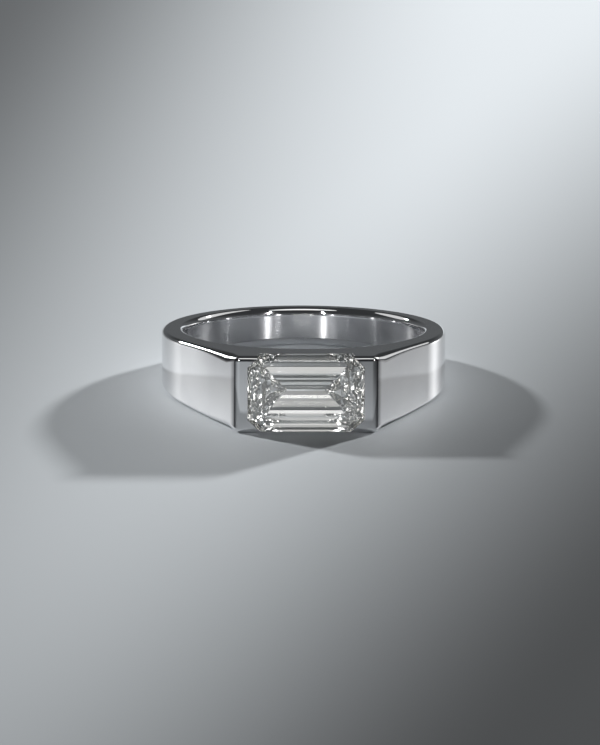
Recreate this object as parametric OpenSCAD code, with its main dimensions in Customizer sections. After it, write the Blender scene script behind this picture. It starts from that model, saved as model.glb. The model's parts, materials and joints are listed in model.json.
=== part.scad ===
// East west ring: a flat-sided signet ring with one step-cut stone set across the finger.
// The ring lies on its lower side face, with its head towards -Y. All sizes are in millimetres.

/* [Shank] */
// Diameter of the finger hole
finger_d = 17.3; // [16:0.1:19]
// Wall of the shank at the back of the ring
wall_back = 1.3; // [1:0.05:1.8]
// Wall of the shank at its two sides
wall_side = 1.65; // [1.3:0.05:2]
// Height of the ring, from side face to side face, over the centre of the finger hole
side_w = 4.03; // [3.6:0.01:4.6]
// Slope of each side face, which makes the ring tall at the head and slim at the back
side_slope = 3.7; // [2.5:0.1:4.5]
// Rounding of the outer edges
edge_r = 0.36; // [0.2:0.02:0.4]
// Rounding of the finger hole's two rims
rim_r = 0.36; // [0.2:0.02:0.5]

/* [Head] */
// Metal from the finger hole to the front of the bars
head_deep = 3.4; // [3.2:0.05:4]
// Width of the head's flat front, bars and stone together
head_w = 9.3; // [9.1:0.1:10.4]
// Rounding of the upright arris between shoulder and front
arris_r = 0.5; // [0.42:0.01:0.6]
// How far each bar reaches over the end of the stone
lip = 0.08; // [0.04:0.01:0.12]
// Length of the light hole behind the stone, along the stone
light_l = 5; // [4:0.1:5.6]
// Height of the light hole behind the stone
light_w = 2.8; // [2:0.1:3]
// Length taken off each corner of the light hole
light_corner = 0.5; // [0.3:0.05:0.8]

/* [Stone] */
// Length of the stone, across the finger
stone_l = 8.3; // [7.9:0.05:8.5]
// Width of the stone
stone_w = 5.66; // [5.4:0.02:5.7]
// Length taken off each corner along both sides
stone_corner = 0.9; // [0.7:0.05:1.1]
// Thickness of the girdle
girdle_h = 0.14; // [0.08:0.02:0.2]
// How far the girdle lies behind the front of the bars
girdle_back = 0.35; // [0.3:0.05:0.6]
// How far the stone stays clear of the surface that the ring lies on
stone_clear = 0.025; // [0.01:0.005:0.06]
// Gap between the stone and its seat
seat_gap = 0.03; // [0.02:0.01:0.05]

/* [Hidden] */
bore_r = finger_d / 2;
shank_r = bore_r + wall_side;
shank_y = wall_back - wall_side;
front_y = bore_r + head_deep;
girdle_y = -(front_y - girdle_back);
girdle_end = girdle_y + girdle_h;

// How far cutters run on past what they cut, and how far a rounding's cutter starts inside the wall
past = 1;
cut_in = 0.02;

// Shortest corner side that a step of the stone may have, and the width of the flat along its keel
least_corner = 0.03;
keel_w = 0.1;

// Steps round the finger hole, the shank and each rounding
hole_steps = 96;
shank_steps = 64;
arris_steps = 4;
round_steps = 3;

// Steps of the crown and of the pavilion, from the girdle outwards:
// how far the step's edge lies inside the girdle, and how far it lies from the girdle's own edge
INSET = 0;
OFF = 1;
CROWN = [[0.18, 0.18], [0.37, 0.33], [0.57, 0.4]];
PAVILION = [[0.55, 0.86], [1.01, 1.29], [1.68, 1.79], [(stone_w - keel_w) / 2, 2.37]];
table = CROWN[len(CROWN) - 1];

// Half height of the ring at a place along its length
function half_side(y) = side_w / 2 - y * tan(side_slope);

// Rise of the stone above the ring's middle plane
stone_rise = stone_w / 2 - half_side(girdle_end) + stone_clear / cos(side_slope);

// Centre of an arris, and the direction in which the shoulder between it and the shank faces
arris_at = [head_w / 2, -(front_y - arris_r)];
arris_far = norm(arris_at - [0, shank_y]);
shoulder_dir = atan2(arris_at[1] - shank_y, arris_at[0]) + acos((shank_r - arris_r) / arris_far);

// Points of an arc from direction a to direction b
function arc(at, r, a, b, steps) =
    [for (i = [0:steps]) let (t = a + (b - a) * i / steps) at + r * [cos(t), sin(t)]];

// The ring seen along its finger hole, drawn a little smaller by inset
function outline(inset) = concat(
    arc(arris_at, arris_r - inset, -90, shoulder_dir, arris_steps),
    arc([0, shank_y], shank_r - inset, shoulder_dir, 180 - shoulder_dir, shank_steps),
    arc([-arris_at[0], arris_at[1]], arris_r - inset, 180 - shoulder_dir, 270, arris_steps));

// One closed loop of the outside, drawn smaller by inset and lying below the side face by drop
function outer_loop(inset, drop, side) = [for (p = outline(inset))
    [p[0], p[1], side * (half_side(p[1]) - drop)]];

// A solid through a stack of closed loops that have the same number of points
module lofted(loops) {
    n = len(loops[0]);
    last = len(loops) - 1;
    walls = [for (k = [0:last - 1], i = [0:n - 1])
        [k * n + i, (k + 1) * n + i, (k + 1) * n + (i + 1) % n, k * n + (i + 1) % n]];
    low = [for (i = [0:n - 1]) i];
    high = [for (i = [n - 1:-1:0]) last * n + i];
    polyhedron(points = [for (l = loops) each l], faces = concat([low], walls, [high]));
}

// Everything beyond one side face of the ring
module beyond_side(side) {
    size = 4 * shank_r;
    mirror([0, 0, side]) translate([0, 0, side_w / 2]) rotate([-side_slope, 0, 0])
        translate([-size / 2, -size / 2, 0]) cube([size, size, size / 4]);
}

// The whole outside of the metal: round shank, flat shoulders and head, with rounded edges.
// The last loop runs on past the side face, which is then cut flat.
module outside() {
    curve = [for (i = [0:round_steps]) let (t = 90 * i / round_steps)
        edge_r * [1 - cos(t), 1 - sin(t)]];
    last = curve[round_steps];
    run_on = last + (last - curve[round_steps - 1]) / 3;
    steps = concat([for (i = [0:round_steps - 1]) curve[i]], [run_on]);
    below = [for (i = [round_steps:-1:0]) outer_loop(steps[i][0], steps[i][1], -1)];
    above = [for (s = steps) outer_loop(s[0], s[1], 1)];
    difference() {
        lofted(concat(below, above));
        beyond_side(0);
        beyond_side(1);
    }
}

// Cutter that rounds one rim of the finger hole; its axis is square to the side face
module rim_cutter() {
    start = bore_r - cut_in;
    inner = bore_r - past;
    curve = [for (i = [0:round_steps]) let (t = 90 * i / round_steps)
        [start + rim_r * (1 - cos(t)), rim_r * (sin(t) - 1)]];
    rotate_extrude($fn = hole_steps)
        polygon(concat([[inner, -rim_r]], curve, [[start + rim_r, past], [inner, past]]));
}

module finger_hole() {
    translate([0, 0, -2 * side_w]) cylinder(h = 4 * side_w, r = bore_r, $fn = hole_steps);
    for (side = [0, 1])
        mirror([0, 0, side]) translate([0, 0, side_w / 2]) rotate([-side_slope, 0, 0]) rim_cutter();
}

// An eight-sided loop in the plane y, centred on the stone
function octagon(half_l, half_w, corner, y) = [for (p = [
    [half_l, corner - half_w], [half_l - corner, -half_w],
    [corner - half_l, -half_w], [-half_l, corner - half_w],
    [-half_l, half_w - corner], [corner - half_l, half_w],
    [half_l - corner, half_w], [half_l, half_w - corner]])
    [p[0], y, p[1] + stone_rise]];

// The same loop by its inset from the stone's girdle; grow makes all eight sides larger alike
function step_loop(inset, y, grow = 0) = octagon(
    stone_l / 2 - inset + grow, stone_w / 2 - inset + grow,
    max(least_corner, stone_corner - (inset - grow) * (2 - sqrt(2))), y);

module step_cut_stone() {
    crown = [for (i = [len(CROWN) - 1:-1:0]) step_loop(CROWN[i][INSET], girdle_y - CROWN[i][OFF])];
    girdle = [step_loop(0, girdle_y), step_loop(0, girdle_end)];
    pavilion = [for (s = PAVILION) step_loop(s[INSET], girdle_end + s[OFF])];
    lofted(concat(crown, girdle, pavilion));
}

// The seat: the stone's own back, grown by the gap and carried forward to the underside of the lips
module seat() {
    lip_y = girdle_y - lip * CROWN[0][OFF] / CROWN[0][INSET];
    front = [step_loop(lip, lip_y - seat_gap, seat_gap), step_loop(0, girdle_y - seat_gap, seat_gap)];
    girdle = [step_loop(0, girdle_end, seat_gap)];
    pavilion = [for (s = PAVILION) step_loop(s[INSET], girdle_end + s[OFF] + seat_gap, seat_gap)];
    lofted(concat(front, girdle, pavilion));
}

// Between the bars all is open as far back as the girdle; the opening's corners follow the stone's
module opening_between_bars() {
    half_l = stone_l / 2 - lip;
    half_w = stone_w / 2 + past;
    corner = stone_corner + past + lip * (sqrt(2) - 1);
    lofted([octagon(half_l, half_w, corner, -front_y - past), octagon(half_l, half_w, corner, girdle_end)]);
}

// The light hole runs from behind the stone's first step into the finger hole
module light_hole() {
    behind_step = girdle_end + PAVILION[0][OFF];
    lofted([for (y = [behind_step, past - bore_r]) octagon(light_l / 2, light_w / 2, light_corner, y)]);
}

// Lays the ring on its lower side face, with the middle of its length over the origin
module at_rest() {
    stone_reach = (table[OFF] - girdle_y) * cos(side_slope)
        + (stone_w / 2 - table[INSET] - stone_rise) * sin(side_slope);
    bar_reach = front_y * cos(side_slope) + (half_side(-front_y) - edge_r) * sin(side_slope);
    back = shank_y + shank_r;
    back_reach = back * cos(side_slope) + (half_side(back) - edge_r) * sin(side_slope);
    translate([0, (max(stone_reach, bar_reach) - back_reach) / 2, side_w / 2 * cos(side_slope)])
        rotate([-side_slope, 0, 0]) children();
}

module band() {
    color("silver") at_rest() difference() {
        outside();
        finger_hole();
        seat();
        opening_between_bars();
        light_hole();
    }
}

module stone() {
    color("aliceblue") at_rest() step_cut_stone();
}

band();
stone();
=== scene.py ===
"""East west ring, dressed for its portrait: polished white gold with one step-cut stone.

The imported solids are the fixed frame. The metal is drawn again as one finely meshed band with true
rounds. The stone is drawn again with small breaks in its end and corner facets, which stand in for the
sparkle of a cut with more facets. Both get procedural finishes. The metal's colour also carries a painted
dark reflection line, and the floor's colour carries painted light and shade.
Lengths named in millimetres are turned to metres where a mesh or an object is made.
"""

import json
import logging
import math
from dataclasses import dataclass, field
from enum import Enum

import bpy
import numpy as np
from mathutils import Matrix, Vector
from mathutils.bvhtree import BVHTree


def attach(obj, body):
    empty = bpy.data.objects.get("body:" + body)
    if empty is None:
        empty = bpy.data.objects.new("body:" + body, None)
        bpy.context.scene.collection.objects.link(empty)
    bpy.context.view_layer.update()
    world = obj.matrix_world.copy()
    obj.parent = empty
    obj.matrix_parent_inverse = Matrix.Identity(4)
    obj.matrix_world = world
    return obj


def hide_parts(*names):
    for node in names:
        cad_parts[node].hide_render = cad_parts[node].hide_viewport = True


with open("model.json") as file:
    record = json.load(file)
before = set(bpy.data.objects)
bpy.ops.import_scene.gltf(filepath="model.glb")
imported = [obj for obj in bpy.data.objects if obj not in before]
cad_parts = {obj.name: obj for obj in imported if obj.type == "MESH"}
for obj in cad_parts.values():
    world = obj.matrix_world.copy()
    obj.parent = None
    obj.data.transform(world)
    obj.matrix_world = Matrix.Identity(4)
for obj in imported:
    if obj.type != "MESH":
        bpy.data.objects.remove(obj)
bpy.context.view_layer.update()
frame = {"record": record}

MM = 0.001
DECIMALS = 4
TINY = 1e-9
FAR = 9.0
# Near-black colour of the painted dark reflection along the head's arrises and the left shoulder's top edge.
PAINTED_REFLECTION_COLOUR = (0.025, 0.025, 0.03)
LOG = logging.getLogger("ring")


class Surface(Enum):
    """Which tool a stretch of metal was finished with, in the order of the band's material slots."""

    POLISHED = 0
    TURNED = 1
    CUT = 2


class Lit(Enum):
    """What a light falls on. It is kept off all other pieces."""

    BOARD_AND_STONE = 0
    METAL = 1
    STONE = 2


@dataclass(frozen=True)
class Pose:
    """How the ring lies: rolled back about X onto its lower side face, with its box over the origin.

    Attributes:
        slope: slope of each side face, in degrees.
        lift: height of the finger hole's centre over the floor, in mm.
        back: place of the finger hole's centre along Y, in mm.
    """

    slope: float
    lift: float
    back: float

    @classmethod
    def from_frame(cls, record: dict) -> "Pose":
        """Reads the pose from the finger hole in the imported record."""
        hole = next(m for m in record["mounts"] if m["name"] == "finger_hole")
        _, back, lift = hole["pos_m"]
        return cls(math.degrees(math.asin(hole["axis"][1])), lift / MM, back / MM)

    def to_world(self, points: np.ndarray) -> np.ndarray:
        """Takes rows of points from the ring's own frame, in mm, to the shared frame, in metres."""
        return (self.turn(points) + np.array([0.0, self.back, self.lift])) * MM

    def turn(self, vectors: np.ndarray) -> np.ndarray:
        """Turns rows of directions from the ring's own frame to the shared frame."""
        a = math.radians(self.slope)
        out = np.array(vectors, dtype=float)
        y, z = out[:, 1].copy(), out[:, 2].copy()
        out[:, 1] = y * math.cos(a) + z * math.sin(a)
        out[:, 2] = -y * math.sin(a) + z * math.cos(a)
        return out


def unit(rows: np.ndarray) -> np.ndarray:
    """Scales each row to length one."""
    return rows / np.linalg.norm(rows, axis=-1, keepdims=True)


def swept(start: np.ndarray, end: np.ndarray, share: float) -> np.ndarray:
    """Rows of unit directions a share of the way from start to end, along the great circle."""
    angle = np.arccos(np.clip((start * end).sum(1), -1, 1))[:, None]
    return (np.sin((1 - share) * angle) * start + np.sin(share * angle) * end) / np.sin(angle)


def belt(first: int, second: int, count: int) -> list:
    """Four-sided faces between two closed rows of points.

    Args:
        first: number of the first row's first point.
        second: number of the second row's first point.
        count: number of points in each row.

    Returns:
        The faces, as tuples of point numbers.
    """
    return [(first + i, first + (i + 1) % count, second + (i + 1) % count, second + i)
            for i in range(count)]


def new_object(name: str, verts: np.ndarray, faces: list) -> bpy.types.Object:
    """Makes a mesh object at the shared frame's origin.

    Args:
        name: the object's name.
        verts: rows of x, y, z in metres.
        faces: lists of vertex numbers.

    Returns:
        The object, linked to the scene.
    """
    mesh = bpy.data.meshes.new(name)
    mesh.from_pydata(verts.tolist(), [], faces)
    mesh.update()
    obj = bpy.data.objects.new(name, mesh)
    bpy.context.scene.collection.objects.link(obj)
    return obj


@dataclass
class StoneCut:
    """Sizes of the step-cut stone, in mm, in the ring's own frame.

    Attributes:
        girdle_y: place of the girdle's front edge.
        rise: how far the stone stands above the ring's middle plane.
        length: the stone's length, across the finger.
        width: its width.
        corner: length taken off each corner along both sides.
        least_corner: shortest corner side that a step may have.
        girdle_h: thickness of the girdle.
        gap: space between the stone and its seat.
        lip: how far each bar reaches over the end of the stone.
        crown: each crown step's inset from the girdle and its distance from it.
        pavilion: the same for the pavilion.
        keel_w: width of the flat along the keel.
        keel_depth: distance of that flat from the girdle.
        break_depth: depth of the small breaks in the end and corner facets.
        least_break: shallowest break, as a share of that depth.
        parts: how many parts a corner, a long, a corner and an end facet break into.
        seed: start of the random draws.
    """

    girdle_y: float
    rise: float
    length: float = 8.3
    width: float = 5.66
    corner: float = 0.9
    least_corner: float = 0.03
    girdle_h: float = 0.14
    gap: float = 0.03
    lip: float = 0.08
    crown: tuple = ((0.18, 0.18), (0.37, 0.33), (0.57, 0.4))
    pavilion: tuple = ((0.55, 0.86), (1.01, 1.29), (1.68, 1.79))
    keel_w: float = 0.1
    keel_depth: float = 2.37
    break_depth: float = 0.05
    least_break: float = 0.1
    parts: tuple = (4, 1, 4, 9)
    seed: int = 5

    def back_steps(self) -> list:
        """Inset and distance of every step behind the girdle, down to the keel."""
        return [*self.pavilion, ((self.width - self.keel_w) / 2, self.keel_depth)]

    def octagon(self, half_l: float, half_w: float, corner: float, y: float) -> np.ndarray:
        """An eight-sided loop centred on the stone.

        Args:
            half_l: half length along X.
            half_w: half width along Z.
            corner: length taken off each corner.
            y: the loop's place along the finger hole's radius.

        Returns:
            Eight rows of x, y, z.
        """
        xz = [(half_l, corner - half_w), (half_l - corner, -half_w),
              (corner - half_l, -half_w), (-half_l, corner - half_w),
              (-half_l, half_w - corner), (corner - half_l, half_w),
              (half_l - corner, half_w), (half_l, half_w - corner)]
        return np.array([(x, y, z + self.rise) for x, z in xz])

    def step(self, inset: float, y: float, grow: float = 0.0) -> np.ndarray:
        """The loop of one step of the cut.

        Args:
            inset: how far the step's edge lies inside the girdle.
            y: the loop's place.
            grow: how much larger all eight sides are drawn.

        Returns:
            Eight rows of x, y, z.
        """
        corner = max(self.least_corner, self.corner - (inset - grow) * (2 - math.sqrt(2)))
        return self.octagon(self.length / 2 - inset + grow, self.width / 2 - inset + grow, corner, y)

    def spans(self) -> list:
        """First point and number of points on each side of a dense ring."""
        counts = self.parts * 2
        return [(sum(counts[:i]), count) for i, count in enumerate(counts)]

    def dense_ring(self, loop: np.ndarray) -> np.ndarray:
        """The loop's points with those between them where a facet breaks up."""
        following = np.roll(loop, -1, 0)
        return np.array([loop[i] + (following[i] - loop[i]) * k / count
                         for i, (_, count) in enumerate(self.spans()) for k in range(count)])

    def broken_ring(self, outer: np.ndarray, inner: np.ndarray, rng: np.random.Generator) -> np.ndarray:
        """The ring halfway between two steps, with the points inside each facet pressed in at random.

        Args:
            outer: the outer step's loop.
            inner: the inner step's loop.
            rng: source of the depths.

        Returns:
            A dense ring.
        """
        ring = (self.dense_ring(outer) + self.dense_ring(inner)) / 2
        middle = (outer.mean(0) + inner.mean(0)) / 2
        following = np.roll(outer, -1, 0)
        for i, (at, count) in enumerate(self.spans()):
            inward = unit(np.cross(following[i] - outer[i], inner[i] - outer[i])[None])[0]
            inward = inward * np.sign((middle - outer[i]) @ inward)
            for k in range(1, count):
                ring[at + k] += inward * self.break_depth * rng.uniform(self.least_break, 1.0)
        return ring

    def build(self, pose: Pose) -> bpy.types.Object:
        """Builds the stone with flat facets.

        Args:
            pose: how the ring lies.

        Returns:
            The stone.
        """
        back = self.girdle_y + self.girdle_h
        plain = [self.step(i, self.girdle_y - o) for i, o in self.crown[::-1]] + [self.step(0, self.girdle_y)]
        steps = [self.step(0, back)] + [self.step(i, back + o) for i, o in self.back_steps()]
        rng = np.random.default_rng(self.seed)
        dense = [self.dense_ring(steps[0])]
        for outer, inner in zip(steps, steps[1:]):
            dense += [self.broken_ring(outer, inner, rng), self.dense_ring(inner)]
        sides, around = len(plain[0]), len(dense[0])
        points = np.vstack(plain + dense)
        faces = [tuple(range(sides))]
        for k in range(len(plain) - 1):
            faces += belt(k * sides, (k + 1) * sides, sides)
        last, first = (len(plain) - 1) * sides, len(plain) * sides
        for i, (at, count) in enumerate(self.spans()):
            there = [first + (at + k) % around for k in range(count + 1)]
            faces.append((last + (i + 1) % sides, last + i, *there))
        for k in range(len(dense) - 1):
            for i, (a, b, c, d) in enumerate(belt(first + k * around, first + (k + 1) * around, around)):
                faces += [(a, b, c), (a, c, d)] if (i + k) % 2 else [(a, b, d), (b, c, d)]
        faces.append(tuple(first + (len(dense) - 1) * around + i for i in range(around)))
        middle = points.mean(0)
        for n, face in enumerate(faces):
            corners = points[list(face)]
            area = sum(np.cross(corners[k] - corners[0], corners[k + 1] - corners[0])
                       for k in range(1, len(face) - 1))
            if (corners.mean(0) - middle) @ area < 0:
                faces[n] = tuple(reversed(face))
        return new_object("stone_cut", pose.to_world(points), faces)


@dataclass
class SignetBand:
    """The metal: round shank, flat shoulders, head with two end bars. Sizes in mm, in the ring's own frame.

    Attributes:
        pose: how the ring lies.
        bore_r: radius of the finger hole.
        shank_r: radius of the shank's outside.
        shank_y: how far the shank's outside is centred in front of the finger hole.
        side_w: height of the ring over the centre of the finger hole.
        front: distance from the finger hole's centre to the front of the bars.
        head_w: width of the head's flat front.
        arris_r: rounding of the upright arrises.
        edge_r: rounding of the outer edges, at the head's front.
        shank_edge_r: the same along the shank.
        worn: how the rounding changes along the shoulders, where the polish has worn it most, as pairs
            of the distance behind the arris and the radius.
        rim_r: how far each rim of the finger hole is rounded across the side face.
        rim_deep: how far the same rounding runs down the finger hole's wall.
        nick: width of the small bevel along the inner edges of the bars.
        arris_end: how far behind its centre an arris ends, as a share of its radius.
        painted_reflection_turn: how far round an arris the painted dark reflection line lies, in degrees.
        painted_reflection_drop: how far over the top edge it lies, in degrees from the wall.
        painted_reflection_soft: width of that painted line, as a share of those turns.
        painted_reflection_square: how squarely it turns the head's corners; 2 is a round turn.
        painted_reflection_run: how far the painted line along the left shoulder runs back from its arris.
        painted_reflection_fade: that painted line's strength, as pairs of the share of its run and the
            strength.
        foot_reflection_turn: how far over the shoulder's top edge that painted line lies, in degrees from the
            wall.
        foot_reflection_soft: its width, in degrees.
        girdle_back: how far the stone's girdle lies behind the front of the bars.
        stone_clear: how far the stone stays clear of the floor.
        light_l: length of the light hole.
        light_w: height of the light hole.
        light_corner: length taken off each of its corners.
        light_end: where its cutter ends, as a share of the finger hole's radius.
        past: how far cutters run on past what they cut.
        arris_steps: mesh steps round an arris.
        shank_steps: mesh steps round the shank.
        flat_steps: mesh steps along a shoulder or the head's front.
        round_steps: mesh steps over an outer edge.
        rim_steps: mesh steps over a rim of the finger hole.
        wall_steps: mesh steps across a face or a wall.
        cut: the stone, seated in the head.
    """

    pose: Pose
    bore_r: float = 8.65
    shank_r: float = 10.3
    shank_y: float = -0.35
    side_w: float = 4.03
    front: float = 12.05
    head_w: float = 9.3
    arris_r: float = 0.5
    edge_r: float = 0.36
    shank_edge_r: float = 0.32
    worn: tuple = ((0.0, 0.44), (0.5, 0.64), (1.0, 0.60), (1.6, 0.52), (2.6, 0.41), (4.0, 0.34))
    rim_r: float = 0.36
    rim_deep: float = 0.6
    nick: float = 0.06
    arris_end: float = 0.1
    # The fields below place the painted dark reflection line in the band's colour.
    painted_reflection_turn: float = 50.0
    painted_reflection_drop: float = 24.0
    painted_reflection_soft: float = 0.36
    painted_reflection_square: float = 4.0
    painted_reflection_run: float = 4.4
    painted_reflection_fade: tuple = ((0.0, 0.0), (0.03, 1.0), (0.5, 0.85), (1.0, 0.0))
    foot_reflection_turn: float = 14.0
    foot_reflection_soft: float = 14.0
    girdle_back: float = 0.35
    stone_clear: float = 0.025
    light_l: float = 5.0
    light_w: float = 2.8
    light_corner: float = 0.5
    light_end: float = 0.8
    past: float = 1.0
    arris_steps: int = 28
    shank_steps: int = 260
    flat_steps: int = 14
    round_steps: int = 18
    rim_steps: int = 24
    wall_steps: int = 6
    cut: StoneCut = field(init=False)

    def __post_init__(self) -> None:
        """Seats the stone behind the front of the bars and just clear of the floor."""
        girdle_y = round(self.girdle_back - self.front, DECIMALS)
        side = self.half_side(girdle_y + StoneCut.girdle_h)
        clear = self.stone_clear / math.cos(math.radians(self.pose.slope))
        self.cut = StoneCut(girdle_y, round(StoneCut.width / 2 - side + clear, DECIMALS))

    @property
    def arris_y(self) -> float:
        """Place of the arrises' centres along Y."""
        return self.arris_r - self.front

    def half_side(self, y: float | np.ndarray) -> float | np.ndarray:
        """Half height of the ring at one place along its length, or at a row of them."""
        return self.side_w / 2 - y * math.tan(math.radians(self.pose.slope))

    def outline(self) -> tuple[np.ndarray, np.ndarray]:
        """The ring's outline seen along the finger hole, from the front round the back.

        Returns:
            The outline's points and its outward directions, as rows of x, y.
        """
        arris = np.array([self.head_w / 2, self.arris_y])
        shank = np.array([0.0, self.shank_y])
        away = arris - shank
        turn = math.acos((self.shank_r - self.arris_r) / np.hypot(*away))
        shoulder = math.atan2(away[1], away[0]) + turn
        parts = []
        mirrored = arris * np.array([-1.0, 1.0])
        for at, r, start, end, steps in (
                (arris, self.arris_r, -math.pi / 2, shoulder, self.arris_steps),
                (shank, self.shank_r, shoulder, math.pi - shoulder, self.shank_steps),
                (mirrored, self.arris_r, math.pi - shoulder, 1.5 * math.pi, self.arris_steps)):
            t = np.linspace(start, end, steps + 1)
            n = np.c_[np.cos(t), np.sin(t)]
            parts.append((at + r * n, n))
        share = np.linspace(0, 1, self.flat_steps + 1)[1:-1, None]
        points, normals = [], []
        for k, (arc, turned) in enumerate(parts):
            start, end = arc[-1], parts[(k + 1) % len(parts)][0][0]
            points += [arc, start + (end - start) * share]
            normals += [turned, np.repeat(turned[-1:], len(share), 0)]
        return np.vstack(points), np.vstack(normals)

    def edge_radii(self, points: np.ndarray) -> np.ndarray:
        """A column with the radius of the outer edges at each point of the outline."""
        behind = [self.arris_y + distance for distance, _ in self.worn]
        places = [self.arris_y - self.arris_r] + behind + [self.shank_y]
        radii = [self.edge_r] + [r for _, r in self.worn] + [self.shank_edge_r]
        return np.interp(points[:, 1], places, radii)[:, None]

    def shoulder_painted_reflection(self, points: np.ndarray, drop: float) -> np.ndarray:
        """Strength of the painted dark reflection along the foot of the left shoulder's rounded top edge.

        Args:
            points: the outline's points.
            drop: how far the row has turned from the wall, in degrees.

        Returns:
            A mask from 0 to 1 for each point.
        """
        behind = [self.arris_y + share * self.painted_reflection_run for share, _ in self.painted_reflection_fade]
        fade = np.interp(points[:, 1], behind, [f for _, f in self.painted_reflection_fade]) * (points[:, 0] < 0)
        return fade * math.exp(-((drop - self.foot_reflection_turn) / self.foot_reflection_soft) ** 2)

    def arris_share(self, points: np.ndarray) -> np.ndarray:
        """How far round its arris each point of the outline lies.

        Args:
            points: the outline's points.

        Returns:
            0 on the head's front, 1 where the painted dark reflection line runs down the arris, FAR well
            beyond it.
        """
        from_x = np.abs(points[:, 0]) - self.head_w / 2
        from_y = self.arris_y - points[:, 1]
        turn = np.degrees(np.arctan2(from_x, np.maximum(from_y, TINY)))
        share = np.where(from_x <= 0, 0.0, turn / self.painted_reflection_turn)
        return np.where(from_y < -self.arris_end * self.arris_r, FAR, share)

    def painted_reflection_mask(self, arris: np.ndarray, top: float) -> np.ndarray:
        """Strength of the painted dark reflection line that frames the head's front.

        Args:
            arris: how far round the arris each point of a row lies.
            top: how far over the top edge the row lies, 0 on the wall and 1 on the line.

        Returns:
            A mask from 0 to 1 for each point.
        """
        share = (arris ** self.painted_reflection_square + top ** self.painted_reflection_square) ** (1 / self.painted_reflection_square)
        return np.exp(-((share - 1) / self.painted_reflection_soft) ** 2)

    def rounding(self, centre: np.ndarray, wide: float | np.ndarray, tall: float | np.ndarray,
                 start: np.ndarray, end: np.ndarray, steps: int) -> list:
        """Rows of the round that an upright egg shape leaves as it rolls between two faces.

        Args:
            centre: rows of the egg's centres.
            wide: the egg's radius across, a number or a column.
            tall: its radius up and down, a number or a column.
            start: outward directions of the first face.
            end: outward directions of the second face.
            steps: number of steps.

        Returns:
            A list of (points, normals), one for each step of the round.
        """
        radii = np.ones_like(centre) * wide
        radii[:, 2:] = tall
        rows = []
        for k in range(steps + 1):
            n = swept(start, end, k / steps)
            reach = np.linalg.norm(radii * n, axis=1, keepdims=True)
            rows.append((centre + radii ** 2 * n / reach, n))
        return rows

    def between(self, start: tuple, end: tuple) -> list:
        """Rows of (points, normals, painted reflection mask) evenly spaced between two rows of one face or
        wall.
        """
        points, normals, lines = start
        shares = [k / self.wall_steps for k in range(1, self.wall_steps)]
        return [(points + (end[0] - points) * s, normals, lines + (end[2] - lines) * s) for s in shares]

    def half_profile(self, side: int) -> list:
        """The rows from the finger hole's wall over one side face to the outer wall.

        Args:
            side: 1 for the upper side, -1 for the lower.

        Returns:
            A list of (points, normals, painted reflection mask) for each row.
        """
        slope = math.radians(self.pose.slope)
        points, normals = self.outline()
        flat = np.array([0.0, math.sin(slope), side * math.cos(slope)])
        flat = np.repeat(flat[None], len(points), 0)
        toward = unit(points)
        inward = np.c_[-toward, np.zeros(len(points))]
        outward = np.c_[normals, np.zeros(len(points))]

        rim_xy = toward * (self.bore_r + self.rim_r)
        rim_reach = math.hypot(self.rim_r * math.sin(slope), self.rim_deep * math.cos(slope))
        rim_z = side * (self.half_side(rim_xy[:, 1]) - rim_reach / math.cos(slope))
        rim = self.rounding(np.c_[rim_xy, rim_z], self.rim_r, self.rim_deep, inward, flat, self.rim_steps)
        radii = self.edge_radii(points)
        edge_xy = points - normals * radii
        edge_z = side * (self.half_side(edge_xy[:, 1]) - radii[:, 0] / math.cos(slope))
        edge = self.rounding(np.c_[edge_xy, edge_z], radii, radii, flat, outward, self.round_steps)
        arris = self.arris_share(points)
        inner = [(p, n, np.zeros(len(points))) for p, n in rim]
        outer = []
        for k, (p, n) in enumerate(edge):
            left = 90 * (1 - k / self.round_steps)
            drop = left / self.painted_reflection_drop
            # Mask of the painted dark reflection: the frame of the head's front, and the line along the left
            # shoulder.
            mask = self.painted_reflection_mask(arris, drop if side > 0 else drop * FAR)
            if side > 0:
                mask = np.maximum(mask, self.shoulder_painted_reflection(points, left))
            outer.append((p, n, mask))
        return inner + self.between(inner[-1], outer[0]) + outer

    def whole(self) -> tuple[np.ndarray, np.ndarray, np.ndarray, list, list]:
        """The metal before the seat is cut, as a closed grid of four-sided faces.

        Returns:
            Points, normals, painted reflection masks, faces and each face's surface.
        """
        up, down = self.half_profile(1), self.half_profile(-1)[::-1]
        rows = up + self.between(up[-1], down[0]) + down + self.between(down[-1], up[0])
        count = len(rows[0][0])
        faces, surfaces = [], []
        for k in range(len(rows)):
            faces += belt(k * count, (k + 1) % len(rows) * count, count)
            kind = Surface.TURNED if k >= len(rows) - self.wall_steps else Surface.POLISHED
            surfaces += [kind.value] * count
        points, normals, lines = (np.concatenate(column) for column in zip(*rows))
        return points, normals, lines, faces, surfaces

    def cutter(self, name: str, loops: list) -> bpy.types.Object:
        """A closed solid through eight-sided loops, used to cut the seat and the openings.

        Args:
            name: the cutter's name.
            loops: loops from front to back.

        Returns:
            The cutter, in the shared frame.
        """
        n = len(loops[0])
        last = len(loops) - 1
        faces = [tuple(reversed(range(n))), tuple(last * n + i for i in range(n))]
        for k in range(last):
            faces += [((k + 1) * n + (i + 1) % n, (k + 1) * n + i, k * n + i, k * n + (i + 1) % n)
                      for i in range(n)]
        return new_object(name, self.pose.to_world(np.vstack(loops)), faces)

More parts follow.
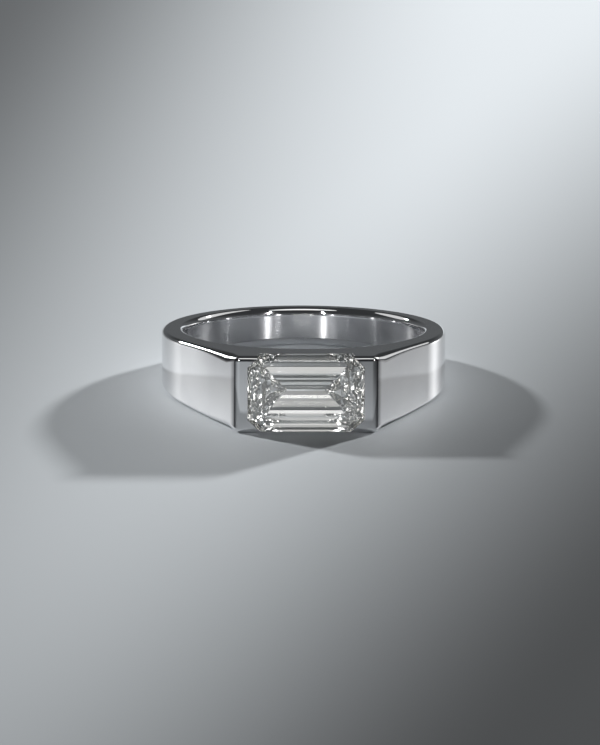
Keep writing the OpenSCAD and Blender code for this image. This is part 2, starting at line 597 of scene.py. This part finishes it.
    def cutters(self) -> list[bpy.types.Object]:
        """The seat, the opening between the bars with its small bevel, and the light hole.

        Returns:
            The four cutters.
        """
        c = self.cut
        back = c.girdle_y + c.girdle_h
        lip_y = c.girdle_y - c.lip * c.crown[0][1] / c.crown[0][0]
        places = [(c.lip, lip_y - c.gap), (0, c.girdle_y - c.gap), (0, back)]
        places += [(inset, back + off + c.gap) for inset, off in c.back_steps()]
        seat = [c.step(inset, y, c.gap) for inset, y in places]
        half_l, half_w = c.length / 2 - c.lip, c.width / 2 + self.past
        corner = c.corner + self.past + c.lip * (math.sqrt(2) - 1)
        opening = [c.octagon(half_l, half_w, corner, y) for y in (-self.front - self.past, back)]
        wider = corner + self.nick * (math.sqrt(2) - 1)
        bevel = [c.octagon(half_l + 2 * self.nick, half_w, wider, -self.front - self.nick),
                 c.octagon(half_l, half_w, corner, -self.front + self.nick)]
        hole = [c.octagon(self.light_l / 2, self.light_w / 2, self.light_corner, y)
                for y in (back + c.pavilion[0][1], -self.bore_r * self.light_end)]
        named = {"seat_cutter": seat, "opening_cutter": opening, "bevel_cutter": bevel, "light_cutter": hole}
        return [self.cutter(name, loops) for name, loops in named.items()]

    def build(self, finishes: dict) -> bpy.types.Object:
        """Builds the band, cuts its seat and sets true normals on what is left of its outside.

        Args:
            finishes: a material for each surface.

        Returns:
            The band.
        """
        points, normals, lines, faces, surfaces = self.whole()
        world = self.pose.to_world(points)
        band = new_object("band_metal", world, faces)
        for surface in Surface:
            band.data.materials.append(finishes[surface])
        band.data.polygons.foreach_set("material_index", surfaces)
        corners = [list(f) for f in faces]
        tree = BVHTree.FromPolygons(world.tolist(), corners)
        for tool in self.cutters():
            for surface in Surface:
                tool.data.materials.append(finishes[surface])
            tool.data.polygons.foreach_set("material_index", [Surface.CUT.value] * len(tool.data.polygons))
            cut = band.modifiers.new("cut", "BOOLEAN")
            cut.operation = "DIFFERENCE"
            cut.solver = "EXACT"
            cut.object = tool
            done = bpy.data.meshes.new_from_object(band.evaluated_get(bpy.context.evaluated_depsgraph_get()))
            band.modifiers.clear()
            band.data = done
            bpy.data.objects.remove(tool)
        self.set_normals(band.data, tree, world, corners, self.pose.turn(normals), lines)
        return band

    def set_normals(self, mesh: bpy.types.Mesh, tree: BVHTree, points: np.ndarray,
                    corners: list, normals: np.ndarray, lines: np.ndarray) -> None:
        """Gives the cut band the true surface's normals and the mask of its painted dark reflection lines.

        Args:
            mesh: the cut band's mesh.
            tree: search tree over the whole band.
            points: its points.
            corners: its faces.
            normals: its normals, one for each point.
            lines: its painted reflection mask, one value for each point.
        """
        own = [Vector(p.normal) for p in mesh.polygons]
        loop_normals = [None] * len(mesh.loops)
        found = {}
        # The "line" attribute holds the painted dark reflection mask.
        line = mesh.attributes.new("line", "FLOAT", "POINT")
        for poly in mesh.polygons:
            for loop in poly.loop_indices:
                if poly.material_index == Surface.CUT.value:
                    loop_normals[loop] = own[poly.index]
                    continue
                vert = mesh.loops[loop].vertex_index
                if vert not in found:
                    at = mesh.vertices[vert].co
                    _, _, face, _ = tree.find_nearest(at)
                    ids = corners[face]
                    gap = np.linalg.norm(points[ids] - np.array(at), axis=1)
                    weight = 1.0 / np.maximum(gap, TINY) ** 2
                    found[vert] = Vector((normals[ids] * weight[:, None]).sum(0)).normalized()
                    line.data[vert].value = float((lines[ids] * weight).sum() / weight.sum())
                loop_normals[loop] = found[vert]
        mesh.polygons.foreach_set("use_smooth", [True] * len(mesh.polygons))
        mesh.normals_split_custom_set([tuple(n) for n in loop_normals])


def ranged(tree: bpy.types.NodeTree, value: bpy.types.NodeSocket, source: tuple, target: tuple,
           smooth: bool = False) -> bpy.types.NodeSocket:
    """Maps a value from one range to another.

    Args:
        tree: the node tree.
        value: the value's socket.
        source: the range that it comes from.
        target: the range that it is mapped to.
        smooth: whether it eases in and out.

    Returns:
        The mapped value's socket.
    """
    node = tree.nodes.new("ShaderNodeMapRange")
    node.interpolation_type = "SMOOTHSTEP" if smooth else "LINEAR"
    for name, number in zip(("From Min", "From Max", "To Min", "To Max"), (*source, *target)):
        node.inputs[name].default_value = number
    tree.links.new(value, node.inputs["Value"])
    return node.outputs["Result"]


def blended(tree: bpy.types.NodeTree, mask: bpy.types.NodeSocket,
            start: tuple | bpy.types.NodeSocket, end: tuple) -> bpy.types.NodeSocket:
    """Mixes two colours by a mask.

    Args:
        tree: the node tree.
        mask: the mask's socket.
        start: the colour where the mask is 0, as a tuple or a socket.
        end: the colour where the mask is 1.

    Returns:
        The mixed colour's socket.
    """
    mix = tree.nodes.new("ShaderNodeMix")
    mix.data_type = "RGBA"
    if isinstance(start, tuple):
        mix.inputs["A"].default_value = (*start, 1)
    else:
        tree.links.new(start, mix.inputs["A"])
    mix.inputs["B"].default_value = (*end, 1)
    tree.links.new(mask, mix.inputs["Factor"])
    return mix.outputs["Result"]


class PolishMarks:
    """Shared effect of polishing and handling: soft haze and fine hairlines, as one node group."""

    HAZE_RANGE = (0.38, 0.72)
    HAZE_DETAIL = 4
    LINE_DETAIL = 3
    LINE_WIDTH = 0.018
    NOISE_MIDDLE = 0.5

    def build(self) -> bpy.types.NodeTree:
        """Builds the node group.

        Returns:
            The group, with the sockets Place, Lay, Haze Scale and Line Scale in, Haze and Hairlines out.
        """
        group = bpy.data.node_groups.new("polish_marks", "ShaderNodeTree")
        for name, way, kind in (("Place", "INPUT", "Vector"), ("Lay", "INPUT", "Vector"),
                                ("Haze Scale", "INPUT", "Float"), ("Line Scale", "INPUT", "Float"),
                                ("Haze", "OUTPUT", "Float"), ("Hairlines", "OUTPUT", "Float")):
            group.interface.new_socket(name, in_out=way, socket_type=f"NodeSocket{kind}")
        nodes, links = group.nodes, group.links
        given = nodes.new("NodeGroupInput")
        result = nodes.new("NodeGroupOutput")

        clouds = nodes.new("ShaderNodeTexNoise")
        clouds.inputs["Detail"].default_value = self.HAZE_DETAIL
        links.new(given.outputs["Place"], clouds.inputs["Vector"])
        links.new(given.outputs["Haze Scale"], clouds.inputs["Scale"])
        links.new(ranged(group, clouds.outputs["Fac"], self.HAZE_RANGE, (0.0, 1.0)), result.inputs["Haze"])

        laid = nodes.new("ShaderNodeVectorMath")
        laid.operation = "MULTIPLY"
        links.new(given.outputs["Place"], laid.inputs[0])
        links.new(given.outputs["Lay"], laid.inputs[1])
        strands = nodes.new("ShaderNodeTexNoise")
        strands.inputs["Detail"].default_value = self.LINE_DETAIL
        links.new(laid.outputs["Vector"], strands.inputs["Vector"])
        links.new(given.outputs["Line Scale"], strands.inputs["Scale"])
        middle = nodes.new("ShaderNodeMath")
        middle.operation = "SUBTRACT"
        middle.inputs[1].default_value = self.NOISE_MIDDLE
        links.new(strands.outputs["Fac"], middle.inputs[0])
        size = nodes.new("ShaderNodeMath")
        size.operation = "ABSOLUTE"
        links.new(middle.outputs["Value"], size.inputs[0])
        line = ranged(group, size.outputs["Value"], (0.0, self.LINE_WIDTH), (1.0, 0.0))
        links.new(line, result.inputs["Hairlines"])
        return group

    def place(self, mat: bpy.types.Material, group: bpy.types.NodeTree, lay: tuple,
              haze_scale: float, line_scale: float) -> bpy.types.Node:
        """Places the group in a material with its own values.

        Args:
            mat: the material.
            group: the node group.
            lay: how the hairlines run, as a stretch of the three directions.
            haze_scale: fineness of the haze, to a metre.
            line_scale: fineness of the hairlines, to a metre.

        Returns:
            The group's node.
        """
        tree = mat.node_tree
        where = tree.nodes.new("ShaderNodeTexCoord")
        marks = tree.nodes.new("ShaderNodeGroup")
        marks.node_tree = group
        tree.links.new(where.outputs["Object"], marks.inputs["Place"])
        marks.inputs["Lay"].default_value = lay
        marks.inputs["Haze Scale"].default_value = haze_scale
        marks.inputs["Line Scale"].default_value = line_scale
        return marks


@dataclass(frozen=True)
class WhiteGold:
    """White gold under one tool's finish, with haze and hairlines, and a painted dark reflection line where
    the mask asks for it.

    Attributes:
        name: the material's name.
        colour: the metal's colour.
        hazed: its colour where handling has left a haze.
        low: roughness where the polish is best.
        high: roughness in the haze.
        lay: how the hairlines run.
        haze_scale: fineness of the haze, to a metre.
        line_scale: fineness of the hairlines, to a metre.
        relief: depth of the hairlines, in metres.
        depth_share: how much of that depth shows.
        anisotropy: how far the tool's marks stretch a highlight across them.
        stretch_turn: direction of that stretch, as a share of a full turn.
        line: strength of the painted dark reflection that frames the head's front and follows the left
            shoulder.
    """

    name: str
    colour: tuple = (0.83, 0.83, 0.835)
    hazed: tuple = (0.77, 0.77, 0.785)
    low: float = 0.03
    high: float = 0.07
    lay: tuple = (1.0, 1.0, 1.0)
    haze_scale: float = 260.0
    line_scale: float = 900.0
    relief: float = 4.0e-7
    depth_share: float = 0.6
    anisotropy: float = 0.0
    stretch_turn: float = 0.25
    line: float = 0.0

    def build(self, group: bpy.types.NodeTree) -> bpy.types.Material:
        """Builds the material.

        Args:
            group: the node group of the polishing marks.

        Returns:
            The material.
        """
        mat = bpy.data.materials.new(self.name)
        mat.use_nodes = True
        tree = mat.node_tree
        nodes, links = tree.nodes, tree.links
        shader = nodes["Principled BSDF"]
        shader.inputs["Metallic"].default_value = 1.0
        marks = PolishMarks().place(mat, group, self.lay, self.haze_scale, self.line_scale)
        haze = marks.outputs["Haze"]
        links.new(ranged(tree, haze, (0.0, 1.0), (self.low, self.high)), shader.inputs["Roughness"])
        colour = blended(tree, haze, self.colour, self.hazed)
        # Paints the dark reflection line into the base colour, from the band's "line" attribute.
        if self.line:
            drawn = nodes.new("ShaderNodeAttribute")
            drawn.attribute_name = "line"
            mask = ranged(tree, drawn.outputs["Fac"], (0.0, 1.0), (0.0, self.line))
            colour = blended(tree, mask, colour, PAINTED_REFLECTION_COLOUR)
        links.new(colour, shader.inputs["Base Color"])
        bump = nodes.new("ShaderNodeBump")
        bump.inputs["Strength"].default_value = self.depth_share
        bump.inputs["Distance"].default_value = self.relief
        links.new(marks.outputs["Hairlines"], bump.inputs["Height"])
        links.new(bump.outputs["Normal"], shader.inputs["Normal"])
        if self.anisotropy:
            shader.inputs["Anisotropic"].default_value = self.anisotropy
            shader.inputs["Anisotropic Rotation"].default_value = self.stretch_turn
            round_axis = nodes.new("ShaderNodeTangent")
            round_axis.direction_type = "RADIAL"
            round_axis.axis = "Z"
            links.new(round_axis.outputs["Tangent"], shader.inputs["Tangent"])
        return mat


@dataclass(frozen=True)
class Diamond:
    """Clear stone with a high refractive index and the faintest warm clouds.

    Attributes:
        name: the material's name.
        colour: tint of the clear stone.
        cloud: tint of its clouds.
        ior: refractive index.
        haze_scale: fineness of the clouds, to a metre.
        line_scale: fineness of the polishing wheel's lines, to a metre.
        polish: roughness of those lines.
    """

    name: str = "diamond"
    colour: tuple = (0.998, 0.997, 0.984)
    cloud: tuple = (0.975, 0.972, 0.925)
    ior: float = 2.417
    haze_scale: float = 700.0
    line_scale: float = 2600.0
    polish: float = 0.012

    def build(self, group: bpy.types.NodeTree) -> bpy.types.Material:
        """Builds the material.

        Args:
            group: the node group of the polishing marks.

        Returns:
            The material.
        """
        mat = bpy.data.materials.new(self.name)
        mat.use_nodes = True
        tree = mat.node_tree
        shader = tree.nodes["Principled BSDF"]
        shader.inputs["Metallic"].default_value = 0.0
        shader.inputs["IOR"].default_value = self.ior
        shader.inputs["Transmission Weight"].default_value = 1.0
        marks = PolishMarks().place(mat, group, (1.0, 1.0, 1.0), self.haze_scale, self.line_scale)
        tint = blended(tree, marks.outputs["Haze"], self.colour, self.cloud)
        tree.links.new(tint, shader.inputs["Base Color"])
        rough = ranged(tree, marks.outputs["Hairlines"], (0.0, 1.0), (0.0, self.polish))
        tree.links.new(rough, shader.inputs["Roughness"])
        return mat


@dataclass(frozen=True)
class PhotoCamera:
    """The photograph's view, worked out from the ring's outline in it.

    Attributes:
        distance: from the lens to the middle of the finger hole, in metres. It is a choice, because
            the photo doesn't settle it.
        elevation: height of the view over the floor, in degrees.
        azimuth: turn of the view about Z, in degrees.
        roll: turn of the picture, in degrees.
        scale: pixels to a millimetre at the middle of the finger hole.
        target_px: where the middle of the finger hole falls in the picture.
        frame_px: the picture's size.
        sensor_mm: width of the sensor.
        seen: nearest and farthest distance that is seen, in metres.
    """

    distance: float = 0.35
    elevation: float = 17.7
    azimuth: float = -0.95
    roll: float = 0.315
    scale: float = 13.74
    target_px: tuple = (303.4, 354.4)
    frame_px: tuple = (600, 745)
    sensor_mm: float = 36.0
    seen: tuple = (0.01, 50.0)

    def build(self, pose: Pose) -> None:
        """Creates the camera and makes it the scene's own.

        Args:
            pose: how the ring lies.
        """
        el, az, roll = (math.radians(a) for a in (self.elevation, self.azimuth, self.roll))
        back = Vector((math.sin(az) * math.cos(el), -math.cos(az) * math.cos(el), math.sin(el)))
        right = Vector((math.cos(az), math.sin(az), 0))
        up = back.cross(right)
        level, square = right, up
        right = level * math.cos(roll) + square * math.sin(roll)
        up = square * math.cos(roll) - level * math.sin(roll)
        target = Vector((0, pose.back, pose.lift)) * MM
        off_x = (self.target_px[0] - self.frame_px[0] / 2) / self.scale * MM
        off_y = (self.target_px[1] - self.frame_px[1] / 2) / self.scale * MM
        aim = target - right * off_x + up * off_y
        data = bpy.data.cameras.new("camera")
        data.sensor_fit = "AUTO"
        data.sensor_width = self.sensor_mm
        data.lens = self.scale * self.distance / MM / max(self.frame_px) * self.sensor_mm
        data.clip_start, data.clip_end = self.seen
        camera = bpy.data.objects.new("camera", data)
        turn = Matrix((right, up, back)).transposed().to_4x4()
        camera.matrix_world = Matrix.Translation(aim + back * self.distance) @ turn
        bpy.context.scene.collection.objects.link(camera)
        bpy.context.scene.camera = camera


@dataclass(frozen=True)
class Lamp:
    """One light of the studio, aimed at the ring.

    Attributes:
        name: the light's name.
        azimuth: direction to the light, in degrees from +X.
        elevation: height of the light over the floor, in degrees.
        size: width and height, in metres.
        radiance: brightness of its face.
        lit: what it falls on.
        distance: from the ring, in metres.
    """

    name: str
    azimuth: float
    elevation: float
    size: tuple
    radiance: float
    lit: Lit = Lit.STONE
    distance: float = 0.8

    def build(self, groups: dict) -> None:
        """Creates the light.

        Args:
            groups: the collection of pieces for each choice of what is lit.
        """
        data = bpy.data.lights.new(self.name, "AREA")
        data.shape = "ELLIPSE"
        data.size, data.size_y = self.size
        data.energy = self.radiance * math.pi ** 2 / 4 * self.size[0] * self.size[1]
        lamp = bpy.data.objects.new(self.name, data)
        az, el = math.radians(self.azimuth), math.radians(self.elevation)
        away = Vector((math.cos(az) * math.cos(el), math.sin(az) * math.cos(el), math.sin(el)))
        lamp.location = away * self.distance
        lamp.rotation_euler = away.to_track_quat("Z", "Y").to_euler()
        lamp.visible_camera = False
        lamp.light_linking.receiver_collection = groups[self.lit]
        bpy.context.scene.collection.objects.link(lamp)


@dataclass(frozen=True)
class PaintedShadeEdge:
    """One soft edge of painted shade between the pale and the dark part of the board.

    Attributes:
        azimuth: direction in which the board grows paler, in degrees from +X.
        start: where the board starts to grow paler, in mm along that direction.
        width: over how many mm it does.
        floor: share of the brightness that is left beyond the edge.
    """

    azimuth: float
    start: float
    width: float
    floor: float


@dataclass(frozen=True)
class PaintedLightBoard:
    """Satin board with painted light and shade: its colour fades from a pale middle into two darker corners.

    Attributes:
        pale: colour of the middle.
        edges: the soft edges of the painted shade.
        roughness: how satin the board is.
        sheen: strength of its reflection.
    """

    pale: tuple = (0.757, 0.800, 0.832)
    edges: tuple = (PaintedShadeEdge(-7.7, -45.3, 51.2, 0.143), PaintedShadeEdge(159.5, -35.0, 49.9, 0.083))
    roughness: float = 0.6
    sheen: float = 0.2

    def build(self) -> bpy.types.Material:
        """Builds the material.

        Returns:
            The material.
        """
        mat = bpy.data.materials.new("board_painted_light")
        mat.use_nodes = True
        tree = mat.node_tree
        nodes, links = tree.nodes, tree.links
        shader = nodes["Principled BSDF"]
        shader.inputs["Roughness"].default_value = self.roughness
        shader.inputs["Specular IOR Level"].default_value = self.sheen
        where = nodes.new("ShaderNodeTexCoord")
        # The product of the soft edges is the painted light and shade on the board.
        painted_tone = None
        for edge in self.edges:
            along = nodes.new("ShaderNodeVectorMath")
            along.operation = "DOT_PRODUCT"
            a = math.radians(edge.azimuth)
            along.inputs[1].default_value = (math.cos(a), math.sin(a), 0)
            links.new(where.outputs["Object"], along.inputs[0])
            reach = (edge.start * MM, (edge.start + edge.width) * MM)
            fade = ranged(tree, along.outputs["Value"], reach, (edge.floor, 1.0), smooth=True)
            if painted_tone is None:
                painted_tone = fade
                continue
            both = nodes.new("ShaderNodeMath")
            both.operation = "MULTIPLY"
            links.new(painted_tone, both.inputs[0])
            links.new(fade, both.inputs[1])
            painted_tone = both.outputs["Value"]
        links.new(blended(tree, painted_tone, (0.0, 0.0, 0.0), self.pale), shader.inputs["Base Color"])
        return mat


@dataclass
class Studio:
    """Floor with painted light and shade, soft lights and a dim room.

    Attributes:
        floor_r: radius of the floor, in metres.
        floor_sides: number of its sides.
        horizon: where the light along the horizon starts to fade and where it ends, as heights from 0 to 1.
        horizon_light: brightness along the horizon.
        room_light: brightness above it.
        room_colour: colour of both.
        lamps: the lights. The narrow pair in front makes the streaks on the finger hole's wall.
    """

    floor_r: float = 3.0
    floor_sides: int = 96
    horizon: tuple = (0.08, 0.35)
    horizon_light: float = 0.11
    room_light: float = 0.04
    room_colour: tuple = (0.95, 1.0, 1.04)
    lamps: tuple = (
        Lamp("key_right", 41.5, 20.4, (0.08, 0.08), 790.0, Lit.BOARD_AND_STONE, 1.0),
        Lamp("key_left", 148.0, 27.0, (0.08, 0.08), 640.0, Lit.BOARD_AND_STONE, 1.0),
        Lamp("edge_right", 31.0, 28.0, (0.08, 0.08), 500.0, Lit.METAL, 1.0),
        Lamp("edge_left", 138.5, 20.4, (0.08, 0.08), 500.0, Lit.METAL, 1.0),
        Lamp("overhead", -90.0, 62.0, (0.80, 0.30), 1.2, Lit.METAL),
        Lamp("panel_right", 30.0, 36.0, (0.50, 0.75), 0.7, Lit.METAL),
        Lamp("panel_left", 150.0, 32.0, (0.50, 0.50), 0.7, Lit.METAL),
        Lamp("front_right", -55.0, 22.0, (0.018, 0.25), 210.0, Lit.METAL, 0.7),
        Lamp("front_left", -111.0, 22.0, (0.018, 0.25), 240.0, Lit.METAL, 0.7),
        Lamp("stone_zenith", -90.0, 87.0, (0.70, 0.05), 37.0),
        Lamp("stone_upper", -90.0, 71.0, (0.70, 0.05), 3.7),
        Lamp("stone_top", -90.0, 63.0, (0.70, 0.05), 10.0),
        Lamp("stone_high", -90.0, 44.0, (0.70, 0.15), 0.75),
        Lamp("stone_low", -90.0, 6.0, (0.70, 0.13), 0.5),
        Lamp("stone_behind", 90.0, 63.0, (0.60, 0.11), 1.1),
        Lamp("stone_behind_low", 90.0, 30.0, (0.60, 0.11), 0.35),
        Lamp("stone_low_left", -129.0, 10.0, (0.12, 0.12), 18.0),
        Lamp("stone_low_right", -51.0, 10.0, (0.12, 0.12), 18.0),
        Lamp("stone_left", -142.0, 30.0, (0.13, 0.20), 24.0),
        Lamp("stone_right", -38.0, 32.0, (0.13, 0.20), 24.0),
        Lamp("stone_front_left", -120.0, 38.0, (0.13, 0.13), 22.0),
        Lamp("stone_front_right", -60.0, 38.0, (0.13, 0.13), 22.0),
        Lamp("stone_crest_left", -125.0, 60.0, (0.13, 0.13), 20.0),
        Lamp("stone_crest_right", -58.0, 60.0, (0.13, 0.13), 18.0),
    )

    def build(self, band: bpy.types.Object, stone: bpy.types.Object) -> None:
        """Builds floor, lights and room.

        Args:
            band: the metal.
            stone: the stone.
        """
        turns = [2 * math.pi * i / self.floor_sides for i in range(self.floor_sides)]
        ring = [(self.floor_r * math.cos(t), self.floor_r * math.sin(t), 0) for t in turns]
        floor = new_object("floor", np.array(ring), [tuple(range(self.floor_sides))])
        # The floor's colour carries painted light and shade.
        floor.data.materials.append(PaintedLightBoard().build())
        groups = {}
        falls_on = {Lit.BOARD_AND_STONE: (floor, stone), Lit.METAL: (band,), Lit.STONE: (stone,)}
        for lit, pieces in falls_on.items():
            groups[lit] = bpy.data.collections.new(f"lit_{lit.name.lower()}")
            for piece in pieces:
                groups[lit].objects.link(piece)
        for lamp in self.lamps:
            lamp.build(groups)
            LOG.info("light %s", lamp.name)
        self.room()

    def room(self) -> None:
        """A dim room round the ring, a little lighter along the horizon than above."""
        world = bpy.data.worlds.new("room")
        bpy.context.scene.world = world
        world.use_nodes = True
        tree = world.node_tree
        where = tree.nodes.new("ShaderNodeTexCoord")
        split = tree.nodes.new("ShaderNodeSeparateXYZ")
        tree.links.new(where.outputs["Generated"], split.inputs["Vector"])
        fade = ranged(tree, split.outputs["Z"], self.horizon, (self.horizon_light, self.room_light))
        back = tree.nodes["Background"]
        back.inputs["Color"].default_value = (*self.room_colour, 1)
        tree.links.new(fade, back.inputs["Strength"])


def set_light_paths() -> None:
    """Lets light cross the stone's many facets, and shows tones as they are."""
    scene = bpy.context.scene
    scene.cycles.max_bounces = 48
    scene.cycles.transmission_bounces = 40
    scene.cycles.glossy_bounces = 24
    scene.view_settings.view_transform = "Standard"


def main() -> None:
    """Builds the camera, the band, the stone and the studio."""
    pose = Pose.from_frame(frame["record"])
    PhotoCamera().build(pose)
    group = PolishMarks().build()
    finishes = {
        # line sets the strength of the painted dark reflection on the polished metal.
        Surface.POLISHED: WhiteGold("white_gold_polished", line=0.97).build(group),
        # The turned wall's darker colour is painted shade inside the finger hole; its roughness and stretched
        # highlights come from the turned finish.
        Surface.TURNED: WhiteGold(
            "white_gold_turned_painted_shade", colour=(0.66, 0.66, 0.67), hazed=(0.58, 0.58, 0.595), low=0.17, high=0.21,
            lay=(0.03, 0.03, 1.0), line_scale=5200.0, relief=2.0e-7, anisotropy=1.0).build(group),
        Surface.CUT: WhiteGold(
            "white_gold_bright_cut", colour=(0.76, 0.755, 0.745), hazed=(0.72, 0.715, 0.71),
            low=0.06, high=0.12).build(group),
    }
    metal = SignetBand(pose)
    band = metal.build(finishes)
    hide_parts("band")
    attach(band, "root")
    LOG.info("band %d faces", len(band.data.polygons))
    stone = metal.cut.build(pose)
    stone.data.materials.append(Diamond().build(group))
    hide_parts("stone")
    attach(stone, "root")
    LOG.info("stone %d facets", len(stone.data.polygons))
    Studio().build(band, stone)
    set_light_paths()


if __name__ == "__main__":
    logging.basicConfig(level=logging.INFO)
    main()
